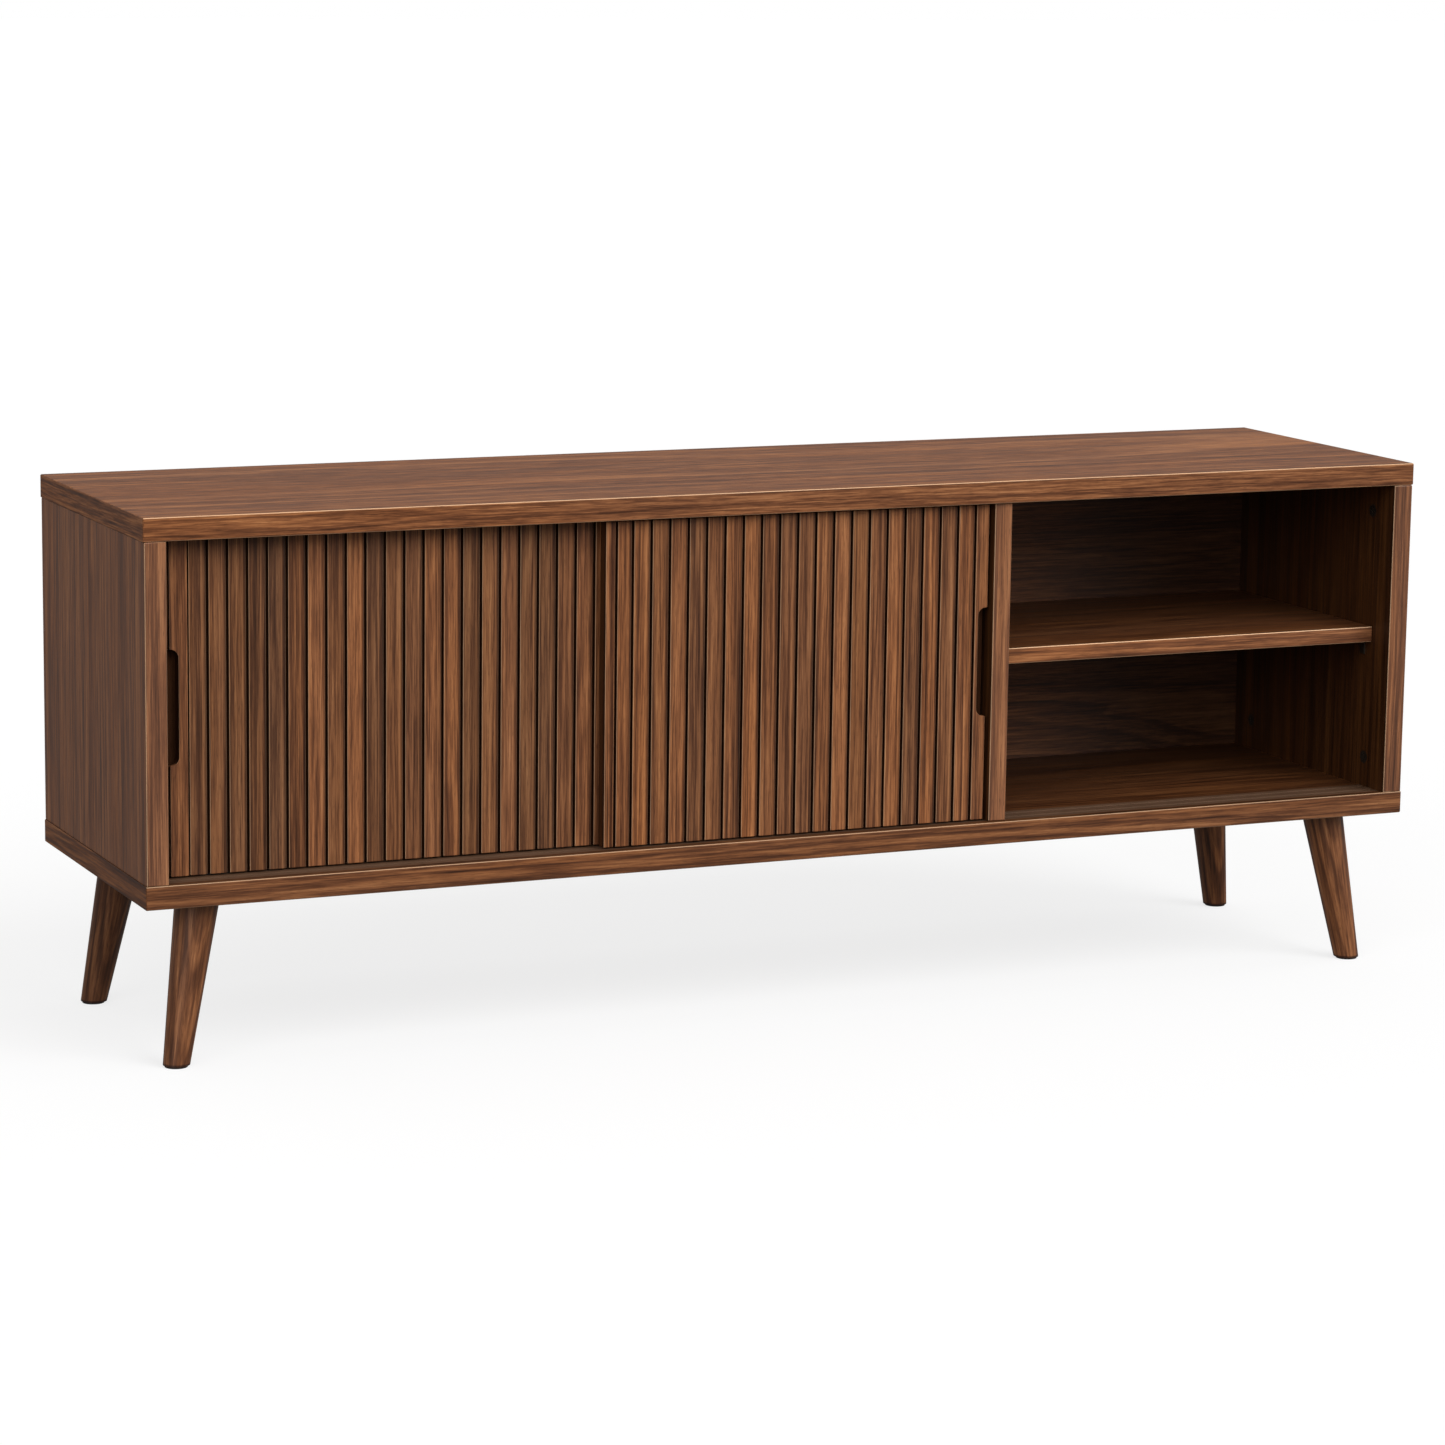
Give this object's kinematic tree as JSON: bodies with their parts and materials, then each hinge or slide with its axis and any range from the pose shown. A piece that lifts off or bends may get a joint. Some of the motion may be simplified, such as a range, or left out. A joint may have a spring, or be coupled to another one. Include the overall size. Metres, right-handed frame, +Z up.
{
  "type": "media cabinet",
  "caption": "Low walnut media cabinet with two slatted sliding doors, an open shelved bay and splayed tapered legs.",
  "frame": {"origin": "on the floor, at the middle of the footprint", "axes": "+X to the cabinet's right as seen from the front, +Y to the back, +Z up; the doors face -Y"},
  "size_m": [1.5, 0.38, 0.581],
  "materials": {
    "walnut": "satin walnut veneer, grain along the width",
    "walnut_upright": "satin walnut veneer, upright grain",
    "walnut_back": "matt walnut veneer, grain along the width",
    "walnut_slats": "satin walnut, upright grain, each slat its own tone",
    "walnut_board": "dark stained board",
    "walnut_legs": "satin solid walnut, grain along the leg",
    "beech": "raw beech",
    "zinc": "zinc plated",
    "dark_zinc": "dark bronze plating",
    "track_plastic": "dark brown, satin",
    "black_plastic": "satin",
    "bumper_rubber": "matt"
  },
  "bodies": {
    "case": {"top_panel": "walnut", "bottom_panel": "walnut", "left_side": "walnut_upright", "right_side": "walnut_upright", "divider": "walnut_upright", "partition": "walnut_upright", "back_panel": "walnut_back", "left_shelf": "walnut", "middle_shelf": "walnut", "right_shelf": "walnut", "shelf_pins": "dark_zinc", "cam_locks": "dark_zinc", "cam_bolts": "zinc", "dowels": "beech", "back_screws": "zinc", "cable_grommets": "black_plastic", "bottom_track": "track_plastic", "top_track": "track_plastic", "door_bumpers": "bumper_rubber", "leg_front_left": "walnut_legs", "leg_front_right": "walnut_legs", "leg_back_left": "walnut_legs", "leg_back_right": "walnut_legs", "leg_plate_front_left": "zinc", "leg_plate_front_right": "zinc", "leg_plate_back_left": "zinc", "leg_plate_back_right": "zinc", "leg_bolts": "zinc", "plate_screws": "zinc", "foot_glides": "black_plastic"},
    "left_door": {"left_door_board": "walnut_board", "left_door_slats": "walnut_slats", "left_door_stile": "walnut_slats", "left_door_glides": "black_plastic", "left_door_guides": "black_plastic"},
    "right_door": {"right_door_board": "walnut_board", "right_door_slats": "walnut_slats", "right_door_stile": "walnut_slats", "right_door_glides": "black_plastic", "right_door_guides": "black_plastic"}
  },
  "joints": [
    {"name": "left_door_slide", "type": "slide", "parent": "case", "child": "left_door", "axis": [1, 0, 0], "range_m": [0, 0.4389]},
    {"name": "right_door_slide", "type": "slide", "parent": "case", "child": "right_door", "axis": [-1, 0, 0], "range_m": [0, 0.4844]}
  ]
}
